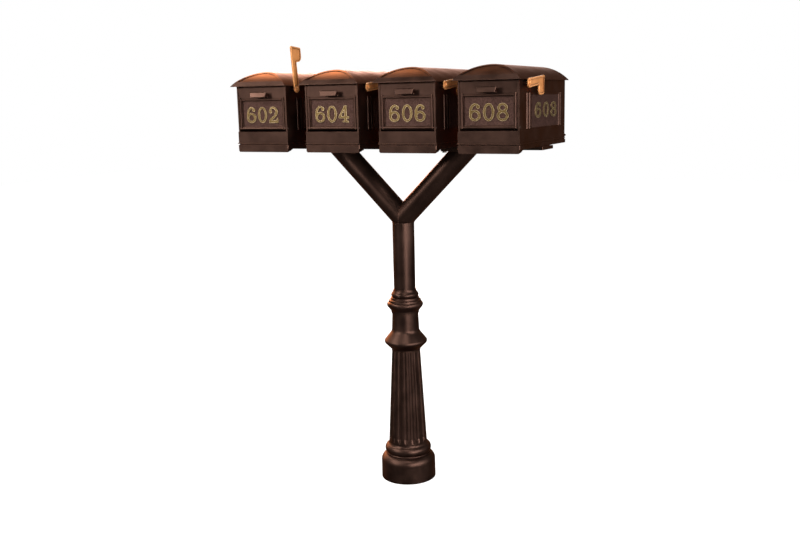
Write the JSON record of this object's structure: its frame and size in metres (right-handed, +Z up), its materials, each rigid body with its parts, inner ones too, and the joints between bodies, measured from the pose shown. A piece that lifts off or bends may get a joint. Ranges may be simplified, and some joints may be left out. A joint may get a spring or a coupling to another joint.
{
  "type": "cluster mailbox unit",
  "caption": "Post-mounted row of cast mailboxes with drop-front doors and signal flags, carried on a cross beam, a Y yoke and a fluted post base.",
  "frame": {"origin": "on the ground, on the post's axis, at the centre of the anchor bolt pattern", "axes": "+Z up along the post; +X along the row of boxes; the doors face -Y"},
  "size_m": [1.2269, 0.5875, 1.7861],
  "materials": {
    "castings": "satin",
    "post": "satin",
    "plaques": "matte",
    "figures": "satin",
    "flags": "satin",
    "steel": "satin",
    "magnets": "matte"
  },
  "bodies": {
    "root": {"box_shell_1": "castings", "roof_1": "castings", "rear_panel_1": "castings", "side_plates_1": "plaques", "box_shell_2": "castings", "roof_2": "castings", "rear_panel_2": "castings", "side_plates_2": "plaques", "box_shell_3": "castings", "roof_3": "castings", "rear_panel_3": "castings", "side_plates_3": "plaques", "box_shell_4": "castings", "roof_4": "castings", "rear_panel_4": "castings", "side_plates_4": "plaques", "side_numerals": "figures", "yoke_arm_left": "post", "yoke_arm_right": "post", "post_tube": "post", "anchor_plate": "post", "arm_flanges": "post", "cross_beam": "post", "base_ring": "castings", "fluted_column": "castings", "column_neck": "castings", "upper_collar": "castings", "collar_screws": "steel", "hinge_pins": "steel", "flag_bolts": "flags", "flag_nuts": "steel", "door_magnets": "magnets", "cover_screws": "steel", "box_bolts": "steel", "flange_bolts": "steel", "flange_nuts": "steel"},
    "door_body_1": {"door_1": "castings", "door_handle_1": "castings", "number_plate_1": "plaques", "door_strike_1": "steel", "numerals_1": "figures"},
    "flag_body_1": {"flag_1": "flags"},
    "door_body_2": {"door_2": "castings", "door_handle_2": "castings", "number_plate_2": "plaques", "door_strike_2": "steel", "numerals_2": "figures"},
    "flag_body_2": {"flag_2": "flags"},
    "door_body_3": {"door_3": "castings", "door_handle_3": "castings", "number_plate_3": "plaques", "door_strike_3": "steel", "numerals_3": "figures"},
    "flag_body_3": {"flag_3": "flags"},
    "door_body_4": {"door_4": "castings", "door_handle_4": "castings", "number_plate_4": "plaques", "door_strike_4": "steel", "numerals_4": "figures"},
    "flag_body_4": {"flag_4": "flags"}
  },
  "joints": [
    {"name": "door_hinge_1", "type": "hinge", "parent": "root", "child": "door_body_1", "pos_m": [-0.477, -0.262, 1.473], "axis": [1, 0, 0], "range_deg": [0, 95]},
    {"name": "door_hinge_2", "type": "hinge", "parent": "root", "child": "door_body_2", "pos_m": [-0.159, -0.262, 1.473], "axis": [1, 0, 0], "range_deg": [0, 95]},
    {"name": "door_hinge_3", "type": "hinge", "parent": "root", "child": "door_body_3", "pos_m": [0.159, -0.262, 1.473], "axis": [1, 0, 0], "range_deg": [0, 95]},
    {"name": "door_hinge_4", "type": "hinge", "parent": "root", "child": "door_body_4", "pos_m": [0.477, -0.262, 1.473], "axis": [1, 0, 0], "range_deg": [0, 95]},
    {"name": "flag_pivot_1", "type": "hinge", "parent": "root", "child": "flag_body_1", "pos_m": [-0.3435, -0.218, 1.625], "axis": [1, 0, 0], "range_deg": [-91.5, 0]},
    {"name": "flag_pivot_2", "type": "hinge", "parent": "root", "child": "flag_body_2", "pos_m": [-0.0255, -0.218, 1.625], "axis": [1, 0, 0], "range_deg": [0, 91.5]},
    {"name": "flag_pivot_3", "type": "hinge", "parent": "root", "child": "flag_body_3", "pos_m": [0.2925, -0.218, 1.625], "axis": [1, 0, 0], "range_deg": [0, 91.5]},
    {"name": "flag_pivot_4", "type": "hinge", "parent": "root", "child": "flag_body_4", "pos_m": [0.6105, -0.218, 1.625], "axis": [1, 0, 0], "range_deg": [0, 91.5]}
  ]
}
